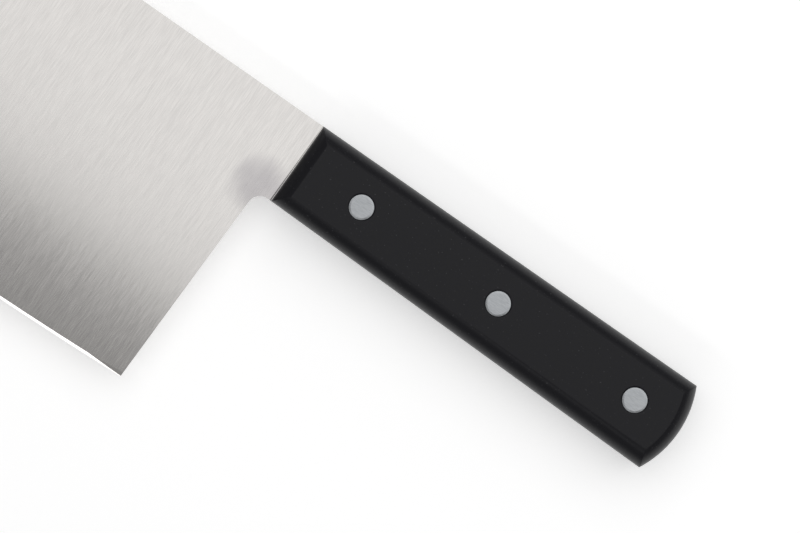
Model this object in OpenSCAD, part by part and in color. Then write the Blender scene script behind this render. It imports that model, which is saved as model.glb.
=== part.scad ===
// Chinese cleaver: a ground blade with a full tang, two handle slabs and three two-part rivets.
// The knife lies on its side. +X runs from the nose of the blade to the butt of the handle,
// +Y from the cutting edge to the spine, and +Z up through the thickness.

/* [Blade outline] */
// Length of the blade, from the handle to the nose
blade_len = 180; // [150:1:220]
// Lowest point of the cutting edge, below the rivet line
edge_depth = 75.9; // [60:0.1:95]
// Distance of that lowest point from the handle
belly_reach = 80; // [60:1:120]
// Radius of the long curve of the cutting edge
belly_r = 1300; // [800:10:3000]
// Angle at which the spine falls towards the nose
spine_fall = 0.32; // [0:0.02:2]
// Radius of the nose's corner at the spine
nose_spine_r = 7; // [2:0.5:20]
// Radius of the nose's corner at the cutting edge
nose_edge_r = 3; // [1:0.5:10]

/* [Neck and heel] */
// Length of the neck, from the handle to the heel line
neck_len = 4.8; // [4.5:0.1:12]
// Radius of the hollow between the neck and the heel
neck_r = 3.6; // [1:0.1:4]
// Angle at which the heel line leans away from the handle
heel_lean = 1.1; // [0:0.1:6]

/* [Blade section] */
// Thickness of the steel, which the tang keeps
blank_t = 2.5; // [2:0.1:4]
// Depth that the grinding takes off each side at the spine, next to the handle
spine_skim = 0.06; // [0.04:0.02:0.2]
// Thickness that the blade has left just above the bevel
edge_t = 0.33; // [0.28:0.01:0.8]
// Thickness that the blade loses from the handle to the nose
nose_thinning = 0.2; // [0:0.02:0.24]
// Angle of the sharpened bevel, on each side
bevel_angle = 15; // [11:0.5:25]
// How much broader the bevel is at the heel than further along
heel_bevel_extra = 0.45; // [0.1:0.05:2]
// Length over which the bevel narrows from the heel to its common width
heel_bevel_run = 13; // [6:0.5:40]
// Steel of full thickness that shows ahead of the handle slabs
shoulder_gap = 0.2; // [0.1:0.05:1]
// Steepness of the step from that steel down to the ground side
shoulder_angle = 45; // [30:1:75]

/* [Handle] */
// Length of the handle
handle_len = 124; // [120:1:150]
// Thickness of the handle over both slabs
handle_t = 18; // [16:0.5:24]
// Top of the handle above the rivet line, at the front
front_top = 11.8; // [9:0.1:16]
// Underside of the handle below the rivet line, at the front
front_low = 12.5; // [9:0.1:16]
// Top of the handle above the rivet line, at the butt
butt_top = 12.65; // [9:0.05:17]
// Underside of the handle below the rivet line, at the butt
butt_low = 13.9; // [9:0.1:18]
// How far the curved butt stands out beyond its corners
butt_bulge = 3.2; // [1:0.1:5]

/* [Rounded sides of the slabs] */
// Depth below the face at which the rounding of a side begins
round_depth = 5.6; // [5.4:0.1:6.4]
// Width of the rounding along the top
top_round_w = 3.8; // [2:0.1:5]
// Width of the rounding along the underside, at the front
low_front_round_w = 4; // [2:0.1:4.5]
// Width of the rounding along the underside, at the butt
low_butt_round_w = 5.1; // [4.5:0.1:5.3]
// Width of the rounding at the front
front_round_w = 4; // [2:0.1:5]
// Width of the rounding round the butt
butt_round_w = 3.5; // [2:0.1:5]

/* [Rivets] */
// Distance of the first rivet from the front of the handle
rivet_front_x = 20.7; // [14:0.1:26]
// Spacing of the rivets
rivet_pitch = 44.25; // [36:0.25:44.5]
// Diameter of a rivet's head
rivet_head_d = 6.7; // [6:0.1:9]
// Thickness of a rivet's head
rivet_head_t = 4; // [2.5:0.1:5.5]
// Outside diameter of the hollow barrel
barrel_d = 5; // [4.4:0.1:5.6]
// Diameter of the solid pin
pin_d = 3.4; // [2:0.1:3.6]
// Gap round each rivet and round its pin
rivet_clearance = 0.03; // [0.01:0.01:0.1]
// Gap that is left between the barrel's mouth and the opposite head
draw_gap = 0.3; // [0.1:0.1:1]
// Depth that the pin's bore reaches into the head of its barrel
bore_into_head = 2; // [0.5:0.1:2]
// Width of the eased rim of a head
rim_w = 0.45; // [0.1:0.05:0.8]
// Drop of the eased rim
rim_drop = 0.12; // [0.02:0.02:0.4]
// Width of the eased mouth of a rivet hole in a slab
mouth_w = 0.4; // [0.1:0.05:0.8]
// Depth of that eased mouth
mouth_depth = 0.2; // [0.05:0.05:0.6]

/* [Hidden] */
$fn = 128;

STEEL = [0.78, 0.77, 0.76];
BLACK = [0.16, 0.16, 0.18];
RIVET_GREY = [0.66, 0.67, 0.69];

// Room by which a cutting shape runs past the solid that it cuts
spare = 5;
// Segments of the edge's curve, whose radius is far larger than any other
belly_segments = 720;

half_blank = blank_t / 2;
half_handle = handle_t / 2;
long_side = blade_len + handle_len;
tall_side = edge_depth + front_top + butt_top;

// Corners of the handle's outline, before its butt is curved
butt_x = handle_len - butt_bulge;
front_top_corner = [0, front_top];
front_low_corner = [0, -front_low];
butt_low_corner = [butt_x, -butt_low];
butt_top_corner = [butt_x, butt_top];
// The butt is an arc through its two corners
butt_chord = butt_top + butt_low;
butt_r = (butt_chord * butt_chord / 4 + butt_bulge * butt_bulge) / (2 * butt_bulge);
butt_centre = [handle_len - butt_r, (butt_top - butt_low) / 2];

belly_centre = [-belly_reach, belly_r - edge_depth];
nose_spine = [-blade_len, front_top - blade_len * tan(spine_fall)];
nose_edge = [-blade_len, edge_height(-blade_len)];
neck_corner = [-neck_len, -front_low];
heel_x = heel_line(-edge_depth);

// Slope of the ground side from the spine to the edge, and from the handle to the nose
grind_slope = (half_blank - spine_skim - edge_t / 2) / (front_top + edge_depth);
taper_slope = nose_thinning / 2 / blade_len;
bevel_slope = tan(bevel_angle);

// A flatter facet broadens the bevel at the heel. It would come down to the cutting edge itself
// only at a point past the heel, so the heel keeps a trace of the common bevel.
facet_overrun = 1;
facet_point = [heel_x + facet_overrun, edge_height(heel_x + facet_overrun)];
heel_side = edge_t / 2 + grind_slope * (edge_height(heel_x) + edge_depth);
heel_bevel_w = heel_side / (bevel_slope - grind_slope) + heel_bevel_extra;
widening = heel_bevel_extra / heel_bevel_run;
facet_rise = heel_side / (heel_bevel_w + facet_overrun * widening);

rivet_xs = [for (i = [0:2]) rivet_front_x + i * rivet_pitch];
head_seat = half_handle - rivet_head_t;
pin_tip = draw_gap - head_seat - bore_into_head;

// The row frame: the origin is under the centre of the knife's box, on the plane it lies on
row_origin = [(handle_len - blade_len) / 2, (max(front_top, butt_top) - edge_depth) / 2, -half_handle];

// Height of the cutting edge at a place along the blade
function edge_height(x) = belly_centre.y - sqrt(pow(belly_r, 2) - pow(x - belly_centre.x, 2));

// Place of the heel line at a height
function heel_line(y) = -neck_len + (y + front_low) * tan(heel_lean);

// Direction of an angle
function heading(angle) = [cos(angle), sin(angle)];

// Radius of a rounding that meets the face at a distance width inward of the wall, and has its axis
// at round_depth below the face
function round_radius(width) = (pow(width, 2) + pow(round_depth, 2)) / (2 * width);

// Depth of the axis of a rounding of known radius, where it meets the face at a distance width
function axis_depth(radius, width) = sqrt(pow(radius, 2) - pow(radius - width, 2));

// Places a part that is drawn about the rivet line, the handle's front and the blade's mid-plane
module in_row_frame() {
    translate(-row_origin) children();
}

// What a round of radius r leaves out of the corner between two sides at the angles a and b,
// with the corner itself drawn out beyond the sides so that no edges coincide
module corner_sliver(a, b, r) {
    half_angle = (b - a) / 2;
    reach = r / tan(half_angle);
    middle = heading(a + half_angle);
    centre = r / sin(half_angle) * middle;
    difference() {
        polygon([-spare * middle, reach * heading(a), centre, reach * heading(b)]);
        translate(centre) circle(r = r);
    }
}

// Outline of the blade ahead of the handle, down to below its cutting edge
module blade_outline() {
    below = -edge_depth - spare;
    difference() {
        polygon([
            front_top_corner,
            nose_spine,
            [-blade_len, below],
            [heel_line(below), below],
            neck_corner,
            front_low_corner
        ]);
        translate(nose_spine) corner_sliver(-90, spine_fall, nose_spine_r);
        translate(nose_edge)
            corner_sliver(-asin((blade_len - belly_reach) / belly_r), 90, nose_edge_r);
    }
    translate(neck_corner) corner_sliver(-90 - heel_lean, 0, neck_r);
}

// Outline of the handle, which the tang shares
module handle_outline() {
    top_slope = (butt_top - front_top) / butt_x;
    low_slope = (butt_low - front_low) / butt_x;
    intersection() {
        polygon([
            front_top_corner,
            front_low_corner,
            [handle_len, -front_low - low_slope * handle_len],
            [handle_len, front_top + top_slope * handle_len]
        ]);
        union() {
            translate(butt_centre) circle(r = butt_r);
            translate([-spare, -handle_len / 2]) square([butt_centre.x + spare, handle_len]);
        }
    }
}

// Everything inside the two cones whose common rim is the cutting edge
module bevelled_disc() {
    rise = blank_t;
    for (side = [0, 1])
        translate(belly_centre)
            mirror([0, 0, side])
                cylinder(h = rise, r1 = belly_r, r2 = belly_r - rise / bevel_slope, $fn = belly_segments);
}

// What the grinding takes off the upper side of the blade, up to the shoulder at the handle
module side_grind() {
    difference() {
        translate([0, front_top, half_blank - spine_skim])
            rotate([atan(grind_slope), -atan(taper_slope), 0])
                translate([-long_side, -tall_side, 0])
                    cube([long_side + spare, 2 * tall_side, blank_t]);
        translate([-shoulder_gap, 0, half_blank])
            rotate([0, 90 - shoulder_angle, 0])
                translate([0, -2 * tall_side, -long_side])
                    cube([long_side, 4 * tall_side, 2 * long_side]);
    }
}

// What the broader facet at the heel takes off the upper side of the blade
module heel_facet() {
    edge_angle = asin((facet_point.x - belly_centre.x) / belly_r);
    translate(facet_point)
        rotate([atan(grind_slope + facet_rise), atan(facet_rise * widening), edge_angle])
            translate([-2 * heel_bevel_run, -spare, 0])
                cube([2 * heel_bevel_run + spare, 2 * spare, blank_t]);
}

// Blade and full tang, ground on both sides
module blade() {
    color(STEEL)
        in_row_frame()
            difference() {
                intersection() {
                    linear_extrude(blank_t, center = true) {
                        blade_outline();
                        handle_outline();
                    }
                    bevelled_disc();
                }
                for (side = [0, 1])
                    mirror([0, 0, side]) {
                        side_grind();
                        heel_facet();
                    }
                for (x = rivet_xs)
                    translate([x, 0, 0])
                        cylinder(h = 2 * blank_t, d = barrel_d + 2 * rivet_clearance, center = true);
            }
}

// Section across a rounded side: the wall at x = 0, the slab on its right, the round's axis at y = 0
module round_section(radius, reach) {
    translate([0, -reach]) square([reach, reach]);
    translate([radius, -reach]) square([reach, 2 * reach]);
    translate([radius, 0]) circle(r = radius);
}

// Everything on the left of the line from corner a to corner b, with the rounding along that line
module rounded_side(a, b, width_a, width_b) {
    run = norm(b - a);
    radius = round_radius(width_a);
    sink = axis_depth(radius, width_b) - round_depth;
    translate([a.x, a.y, half_handle - round_depth])
        rotate([0, atan2(sink, run), atan2(b.y - a.y, b.x - a.x)])
            rotate([90, 0, 90])
                translate([0, 0, -handle_len])
                    linear_extrude(run + 2 * handle_len)
                        round_section(radius, handle_len);
}

// Everything ahead of the curved butt, with the rounding round it
module rounded_butt() {
    translate([butt_centre.x, butt_centre.y, half_handle - round_depth])
        rotate_extrude()
            intersection() {
                translate([butt_r, 0]) mirror([1, 0]) round_section(round_radius(butt_round_w), handle_len);
                translate([0, -handle_len]) square([butt_r, 2 * handle_len]);
            }
    translate([-spare, -handle_len, -handle_len])
        cube([butt_centre.x + spare, 2 * handle_len, 2 * handle_len]);
}

// Stepped hole for a rivet through the slab on the upper side
module rivet_hole() {
    hole_r = rivet_head_d / 2 + rivet_clearance;
    cylinder(h = handle_t, d = barrel_d + 2 * rivet_clearance);
    translate([0, 0, head_seat]) cylinder(h = handle_t, r = hole_r);
    translate([0, 0, half_handle - mouth_depth])
        cylinder(h = 2 * mouth_depth, r1 = hole_r, r2 = hole_r + 2 * mouth_w);
}

// Handle slab on the upper side
module slab() {
    difference() {
        intersection() {
            translate([0, -handle_len / 2, half_blank])
                cube([handle_len, handle_len, half_handle - half_blank]);
            rounded_side(front_low_corner, butt_low_corner, low_front_round_w, low_butt_round_w);
            rounded_side(butt_top_corner, front_top_corner, top_round_w, top_round_w);
            rounded_side(front_top_corner, front_low_corner, front_round_w, front_round_w);
            rounded_butt();
        }
        for (x = rivet_xs)
            translate([x, 0, 0]) rivet_hole();
    }
}

module scale_front() {
    color(BLACK) in_row_frame() slab();
}

module scale_back() {
    color(BLACK) in_row_frame() mirror([0, 0, 1]) slab();
}

// Profile of a rivet's head, from its axis out to its rim
module head_profile() {
    polygon([
        [0, head_seat],
        [rivet_head_d / 2, head_seat],
        [rivet_head_d / 2, half_handle - rim_drop],
        [rivet_head_d / 2 - rim_w, half_handle],
        [0, half_handle]
    ]);
}

// Rivet half with the solid pin, its head in the upper face
module rivet_pin(x) {
    color(RIVET_GREY)
        in_row_frame()
            translate([x, 0, 0]) {
                rotate_extrude() head_profile();
                translate([0, 0, pin_tip]) cylinder(h = head_seat - pin_tip + rivet_head_t / 2, d = pin_d);
            }
}

// Rivet half with the hollow barrel, its head in the lower face
module rivet_socket(x) {
    bore_depth = 2 * head_seat - draw_gap + bore_into_head;
    color(RIVET_GREY)
        in_row_frame()
            translate([x, 0, 0])
                mirror([0, 0, 1])
                    difference() {
                        union() {
                            rotate_extrude() head_profile();
                            translate([0, 0, draw_gap - head_seat])
                                cylinder(h = 2 * head_seat - draw_gap + rivet_head_t / 2, d = barrel_d);
                        }
                        translate([0, 0, draw_gap - head_seat - spare])
                            cylinder(h = bore_depth + spare, d = pin_d + 2 * rivet_clearance);
                    }
}

blade();
scale_front();
scale_back();
rivet_pin(rivet_xs[0]);  // rivet_pin_front
rivet_pin(rivet_xs[1]);  // rivet_pin_middle
rivet_pin(rivet_xs[2]);  // rivet_pin_rear
rivet_socket(rivet_xs[0]);  // rivet_socket_front
rivet_socket(rivet_xs[1]);  // rivet_socket_middle
rivet_socket(rivet_xs[2]);  // rivet_socket_rear
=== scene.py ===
"""Chinese cleaver: finishes, soft edges, studio and camera, in the shared frame. Units are metres."""

import logging
import math
from dataclasses import dataclass
from enum import Enum
from typing import Any, Union

import bpy
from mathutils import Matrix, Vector


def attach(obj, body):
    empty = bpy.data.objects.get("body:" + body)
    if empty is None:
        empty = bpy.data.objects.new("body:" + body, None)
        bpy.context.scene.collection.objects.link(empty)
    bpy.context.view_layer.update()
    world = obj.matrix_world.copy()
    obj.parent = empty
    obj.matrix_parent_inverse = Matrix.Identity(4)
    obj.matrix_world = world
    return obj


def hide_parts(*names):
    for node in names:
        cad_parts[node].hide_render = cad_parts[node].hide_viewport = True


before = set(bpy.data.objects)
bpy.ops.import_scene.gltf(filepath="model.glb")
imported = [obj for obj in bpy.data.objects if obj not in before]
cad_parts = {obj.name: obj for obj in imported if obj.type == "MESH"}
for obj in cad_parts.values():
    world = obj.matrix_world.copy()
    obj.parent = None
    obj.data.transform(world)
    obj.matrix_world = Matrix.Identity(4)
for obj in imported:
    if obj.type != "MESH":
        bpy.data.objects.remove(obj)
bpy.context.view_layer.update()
MM = 0.001

log = logging.getLogger("cleaver")

Number = Union["Socket", float]
Triple = tuple[float, float, float]
Span = tuple[float, float]


class Side(Enum):
    """The two slabs of the handle."""

    FRONT = "front"
    BACK = "back"


class Socket:
    """One value of a shader, which takes part in Python arithmetic by adding Math nodes."""

    def __init__(self, tree: "Tree", output: bpy.types.NodeSocket) -> None:
        """Keeps the tree and the output socket that carries the value.

        Args:
            tree: the material's tree.
            output: the socket that the value leaves by.
        """
        self.tree = tree
        self.output = output

    def _math(self, operation: str, left: Number, right: Number) -> "Socket":
        """Adds one Math node.

        Args:
            operation: the node's operation.
            left: its first value.
            right: its second value.

        Returns:
            The node's result.
        """
        return self.tree.node("ShaderNodeMath", {"operation": operation}, {0: left, 1: right})

    def __add__(self, other: Number) -> "Socket":
        """Sum."""
        return self._math("ADD", self, other)

    __radd__ = __add__

    def __sub__(self, other: Number) -> "Socket":
        """Difference."""
        return self._math("SUBTRACT", self, other)

    def __rsub__(self, other: Number) -> "Socket":
        """Difference, with the socket on the right."""
        return self._math("SUBTRACT", other, self)

    def __mul__(self, other: Number) -> "Socket":
        """Product."""
        return self._math("MULTIPLY", self, other)

    __rmul__ = __mul__

    def __truediv__(self, other: Number) -> "Socket":
        """Quotient."""
        return self._math("DIVIDE", self, other)

    def __abs__(self) -> "Socket":
        """Size without its sign."""
        return self._math("ABSOLUTE", self, 0.0)

    def rise(self, span: Span) -> "Socket":
        """Smooth step.

        Args:
            span: where the result is still 0, and where it has reached 1.

        Returns:
            0 below the span, 1 above it and a smooth rise in it.
        """
        settings = {"interpolation_type": "SMOOTHSTEP"}
        values = {"Value": self, "From Min": span[0], "From Max": span[1]}
        return self.tree.node("ShaderNodeMapRange", settings, values)


class Tree:
    """Node tree of one material, with the few kinds of step that the finishes share."""

    def __init__(self, name: str) -> None:
        """Makes the material with one Principled shader.

        Args:
            name: the material's name.
        """
        self.material = bpy.data.materials.new(name)
        self.material.use_nodes = True
        self.nodes = self.material.node_tree.nodes
        self.links = self.material.node_tree.links
        self.shader = self.nodes["Principled BSDF"]

    def put(self, target: bpy.types.NodeSocket, value: Any) -> None:
        """Links a socket or sets its value.

        Args:
            target: the input socket.
            value: a Socket to link, or a plain value to set.
        """
        if isinstance(value, Socket):
            self.links.new(value.output, target)
        else:
            target.default_value = value

    def node(self, kind: str, settings: dict[str, Any], values: dict[Any, Any], out: Any = 0) -> Socket:
        """Adds any node.

        Args:
            kind: the node's type.
            settings: its own properties, set first.
            values: values or links of its input sockets, by name or index.
            out: name or index of the output that is wanted.

        Returns:
            That output.
        """
        made = self.nodes.new(kind)
        for key, value in settings.items():
            setattr(made, key, value)
        for key, value in values.items():
            self.put(made.inputs[key], value)
        return Socket(self, made.outputs[out])

    def place(self) -> Socket:
        """Position on the object, in metres."""
        return self.node("ShaderNodeTexCoord", {}, {}, "Object")

    def noise(self, cells: Triple, detail: float) -> Socket:
        """Noise with its own number of cells per metre along each axis.

        Args:
            cells: cells per metre along X, Y and Z.
            detail: octaves of finer noise.

        Returns:
            The noise, about 0.5 on average.
        """
        values = {"Vector": self.place(), "Scale": cells}
        scaled = self.node("ShaderNodeMapping", {}, values)
        return self.node("ShaderNodeTexNoise", {}, {"Vector": scaled, "Scale": 1.0, "Detail": detail})

    def parts(self, vector: Socket) -> tuple[Socket, Socket, Socket]:
        """Splits a vector.

        Args:
            vector: the vector.

        Returns:
            Its X, Y and Z.
        """
        first = self.node("ShaderNodeSeparateXYZ", {}, {0: vector})
        outputs = first.output.node.outputs
        return first, Socket(self, outputs[1]), Socket(self, outputs[2])

    def blend(self, share: Number, first: Any, second: Any) -> Socket:
        """Mixes two colours.

        Args:
            share: 0 gives the first colour and 1 the second.
            first: a colour or a Socket.
            second: a colour or a Socket.

        Returns:
            The mixed colour.
        """
        made = self.nodes.new("ShaderNodeMix")
        made.data_type = "RGBA"
        self.put(made.inputs[0], share)
        self.put(made.inputs[6], first if isinstance(first, Socket) else (*first, 1.0))
        self.put(made.inputs[7], second if isinstance(second, Socket) else (*second, 1.0))
        return Socket(self, made.outputs[2])

    def bump(self, height: Socket, distance: float) -> Socket:
        """Turns a height into a normal.

        Args:
            height: the height, from 0 to 1.
            distance: what a height of 1 measures, in metres.

        Returns:
            The bumped normal.
        """
        return self.node("ShaderNodeBump", {}, {"Height": height, "Distance": distance}, "Normal")

    def finish(self, **values: Any) -> bpy.types.Material:
        """Sets the shader's sockets.

        Args:
            values: socket values or links; an underscore in a name stands for a space.

        Returns:
            The finished material.
        """
        for key, value in values.items():
            self.put(self.shader.inputs[key.replace("_", " ")], value)
        return self.material


@dataclass(frozen=True)
class BladeSteel:
    """Stainless steel, brushed from spine to edge, with a polished bevel and a painted shade by the
    neck: a dark, rougher patch where the blade meets the handle.
    """

    pale: Triple = (0.7, 0.68, 0.66)
    dull: Triple = (0.6, 0.583, 0.567)
    # Painted shade by the neck: a dark patch standing in for the shade and dark reflection where the
    # blade meets the handle. The next five values set its place, reach, strength, extra roughness and
    # edge.
    painted_shade: Triple = (0.3, 0.28, 0.31)
    painted_shade_place: Span = (0.0235, 0.0207)
    painted_shade_reach: float = 0.0085
    painted_shade_share: float = 0.5
    painted_shade_roughness: float = 0.06
    painted_shade_span: Span = (-0.3, 1.3)
    cloud_cells: Triple = (90.0, 60.0, 60.0)
    cloud_reach: float = 2.4
    roughness: float = 0.15
    bevel_roughness: float = 0.1
    bevel_tilt: Span = (0.1, 0.2)
    wall_tilt: Span = (0.5, 0.7)
    fine_cells: Triple = (4600.0, 220.0, 220.0)
    fine_share: float = 0.7
    broad_cells: Triple = (1500.0, 60.0, 60.0)
    broad_share: float = 0.3
    streak_span: Span = (0.3, 0.7)
    streak_roughness: float = 0.1
    scratch_depth: float = 0.002 * MM

    def material(self) -> bpy.types.Material:
        """Builds the finish.

        Returns:
            The material.
        """
        tree = Tree("blade_steel")
        fine = tree.noise(self.fine_cells, 3.0)
        broad = tree.noise(self.broad_cells, 2.0)
        streaks = fine * self.fine_share + broad * self.broad_share
        across, along, _ = tree.parts(tree.place())
        # Painted shade mask: 1 at the neck, falling off with distance and a noisy edge. It darkens the
        # steel and roughens it there.
        left = (across - self.painted_shade_place[0]) / self.painted_shade_reach
        up = (along - self.painted_shade_place[1]) / self.painted_shade_reach
        cloud = (tree.noise(self.cloud_cells, 3.0) - 0.5) * self.cloud_reach
        painted_shade_mask = 1.0 - (left * left + up * up + cloud).rise(self.painted_shade_span)
        steel = tree.blend(streaks.rise(self.streak_span), self.dull, self.pale)
        normal = tree.node("ShaderNodeNewGeometry", {}, {}, "True Normal")
        tilt = abs(tree.parts(normal)[1])
        bevel = tilt.rise(self.bevel_tilt) - tilt.rise(self.wall_tilt)
        dulled = self.roughness + (streaks - 0.5) * self.streak_roughness + painted_shade_mask * self.painted_shade_roughness
        return tree.finish(
            Base_Color=tree.blend(painted_shade_mask * self.painted_shade_share, steel, self.painted_shade),
            Metallic=1.0,
            Roughness=dulled + bevel * (self.bevel_roughness - self.roughness),
            Normal=tree.bump(streaks, self.scratch_depth),
        )


@dataclass(frozen=True)
class HandlePlastic:
    """Satin black plastic with a fine moulded grain and faint pale specks."""

    black: Triple = (0.004, 0.004, 0.0065)
    speck: Triple = (0.05, 0.05, 0.055)
    roughness: float = 0.36
    shine: float = 0.27
    grain_cells: Triple = (2600.0, 2600.0, 2600.0)
    grain_roughness: float = 0.16
    grain_depth: float = 0.006 * MM
    speck_cells: Triple = (1500.0, 1500.0, 1500.0)
    speck_span: Span = (0.68, 0.78)
    speck_share: float = 0.6

    def material(self) -> bpy.types.Material:
        """Builds the finish.

        Returns:
            The material.
        """
        tree = Tree("handle_plastic")
        grain = tree.noise(self.grain_cells, 3.0)
        specks = tree.noise(self.speck_cells, 1.0).rise(self.speck_span)
        return tree.finish(
            Base_Color=tree.blend(specks * self.speck_share, self.black, self.speck),
            Roughness=self.roughness + (grain - 0.5) * self.grain_roughness,
            Normal=tree.bump(grain, self.grain_depth),
            Specular_IOR_Level=self.shine,
        )


@dataclass(frozen=True)
class RivetSteel:
    """Fine satin steel, sanded flush with the handle."""

    pale: Triple = (0.45, 0.465, 0.48)
    dull: Triple = (0.36, 0.375, 0.39)
    roughness: float = 0.34
    sanding_cells: Triple = (700.0, 6000.0, 700.0)
    sanding_span: Span = (0.3, 0.7)
    sanding_roughness: float = 0.14
    scratch_depth: float = 0.002 * MM

    def material(self) -> bpy.types.Material:
        """Builds the finish.

        Returns:
            The material.
        """
        tree = Tree("rivet_steel")
        sanding = tree.noise(self.sanding_cells, 2.0)
        return tree.finish(
            Base_Color=tree.blend(sanding.rise(self.sanding_span), self.dull, self.pale),
            Metallic=1.0,
            Roughness=self.roughness + (sanding - 0.5) * self.sanding_roughness,
            Normal=tree.bump(sanding, self.scratch_depth),
        )


def dress(node: str, material: bpy.types.Material, slot: str) -> None:
    """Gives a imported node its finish.

    Args:
        node: the node's name.
        material: its finish.
        slot: the record's material slot.
    """
    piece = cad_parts[node]
    piece.data.materials.clear()
    piece.data.materials.append(material)
    log.info("%s wears %s", node, slot)


@dataclass
class Blade:
    """Blade and tang, cut from one sheet."""

    finish: BladeSteel = BladeSteel()

    def build(self) -> None:
        """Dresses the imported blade."""
        dress("blade", self.finish.material(), "blade_steel")


@dataclass
class Handle:
    """The two plastic slabs, with the creases of their rounded sides eased as moulding leaves them."""

    crease_width: float = 0.28 * MM
    crease_steps: int = 3
    crease_angle: float = math.radians(14)
    flat_angle: float = math.radians(0.3)
    smooth_angle: float = math.radians(30)
    weld: float = 0.002 * MM
    finish: HandlePlastic = HandlePlastic()

    def build(self) -> None:
        """Builds both slabs in the same black."""
        black = self.finish.material()
        for side in Side:
            self.slab(side, black)

    def slab(self, side: Side, black: bpy.types.Material) -> None:
        """Eases the creases of a merged copy of one packed slab.

        Args:
            side: which slab.
            black: its finish.
        """
        node = f"scale_{side.value}"
        bpy.ops.object.select_all(action="DESELECT")
        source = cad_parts[node]
        piece = source.copy()
        piece.data = source.data.copy()
        piece.name = f"slab_{side.value}"
        bpy.context.collection.objects.link(piece)
        bpy.context.view_layer.objects.active = piece
        piece.select_set(True)
        bpy.ops.object.mode_set(mode="EDIT")
        bpy.ops.mesh.select_all(action="SELECT")
        bpy.ops.mesh.remove_doubles(threshold=self.weld)
        bpy.ops.mesh.dissolve_limited(angle_limit=self.flat_angle)
        bpy.ops.object.mode_set(mode="OBJECT")
        ease = piece.modifiers.new("ease", "BEVEL")
        ease.width = self.crease_width
        ease.segments = self.crease_steps
        ease.limit_method = "ANGLE"
        ease.angle_limit = self.crease_angle
        ease.use_clamp_overlap = True
        bpy.ops.object.modifier_apply(modifier=ease.name)
        bpy.ops.object.shade_smooth_by_angle(angle=self.smooth_angle)
        even = piece.modifiers.new("even", "WEIGHTED_NORMAL")
        even.keep_sharp = True
        bpy.ops.object.modifier_apply(modifier=even.name)
        piece.data.materials.clear()
        piece.data.materials.append(black)
        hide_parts(node)
        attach(piece, "root")
        log.info("%s replaces %s", piece.name, node)


@dataclass
class Rivets:
    """Three two-part rivets, their heads flush with the slabs."""

    finish: RivetSteel = RivetSteel()

    def build(self) -> None:
        """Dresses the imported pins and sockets."""
        steel = self.finish.material()
        for half in ("pin", "socket"):
            for place in ("front", "middle", "rear"):
                dress(f"rivet_{half}_{place}", steel, "rivet_steel")


@dataclass
class Studio:
    """White table, overhead softbox, a strip for the bevel, and the camera of the photograph."""

    table_size: float = 6.0
    table_colour: Triple = (0.95, 0.95, 0.95)
    table_glow: float = 0.41
    sky: float = 0.33
    box_centre: Triple = (0.12, 0.44, 0.65)
    box_size: Span = (1.15, 1.0)
    box_watts: float = 2.85
    strip_centre: Triple = (-0.05, -0.465, 0.65)
    strip_size: Span = (0.7, 0.09)
    strip_watts: float = 0.5
    aim: Triple = (0.06605, 0.0247, 0.018)
    turn: float = math.radians(35.22)
    lens: float = 180.0
    sensor: float = 36.0
    view_width: float = 0.2116

    def table(self) -> None:
        """Lays the table that the knife rests on."""
        bpy.ops.mesh.primitive_plane_add(size=self.table_size)
        floor = bpy.context.object
        floor.name = "table_top"
        tree = Tree("white_table")
        seen = tree.node("ShaderNodeLightPath", {}, {}, "Is Camera Ray")
        mirrored = Socket(tree, seen.output.node.outputs["Is Glossy Ray"])
        tree.finish(
            Base_Color=(*self.table_colour, 1.0),
            Roughness=0.9,
            Specular_IOR_Level=0.0,
            Emission_Color=tree.blend(seen + mirrored, (0.0, 0.0, 0.0), (self.table_glow,) * 3),
            Emission_Strength=1.0,
        )
        floor.data.materials.append(tree.material)

    def lamp(self, name: str, centre: Triple, size: Span, watts: float) -> None:
        """Hangs one softbox that faces the knife.

        Args:
            name: its name.
            centre: its place.
            size: its width and depth.
            watts: its power.
        """
        bpy.ops.object.light_add(type="AREA", location=centre)
        lamp = bpy.context.object
        lamp.name = name
        lamp.data.shape = "RECTANGLE"
        lamp.data.size, lamp.data.size_y = size
        lamp.data.energy = watts

    def camera(self) -> None:
        """Sets the camera square over the handle, turned as in the photograph."""
        height = self.view_width * self.lens / self.sensor
        place = Vector(self.aim) + Vector((0.0, 0.0, height))
        bpy.ops.object.camera_add(location=place, rotation=(0.0, 0.0, self.turn))
        camera = bpy.context.object
        camera.data.lens = self.lens
        camera.data.sensor_width = self.sensor
        bpy.context.scene.camera = camera

    def build(self) -> None:
        """Builds table, lamps, sky and camera."""
        bpy.ops.object.select_all(action="DESELECT")
        self.table()
        self.lamp("softbox", self.box_centre, self.box_size, self.box_watts)
        self.lamp("bevel_strip", self.strip_centre, self.strip_size, self.strip_watts)
        world = bpy.data.worlds.new("studio")
        world.use_nodes = True
        world.node_tree.nodes["Background"].inputs["Color"].default_value = (1.0, 1.0, 1.0, 1.0)
        world.node_tree.nodes["Background"].inputs["Strength"].default_value = self.sky
        bpy.context.scene.world = world
        bpy.context.scene.view_settings.view_transform = "Standard"
        self.camera()
        log.info("studio is set")


def main() -> None:
    """Builds the knife and its studio."""
    Blade().build()
    Handle().build()
    Rivets().build()
    Studio().build()


if __name__ == "__main__":
    logging.basicConfig(level=logging.INFO)
    main()
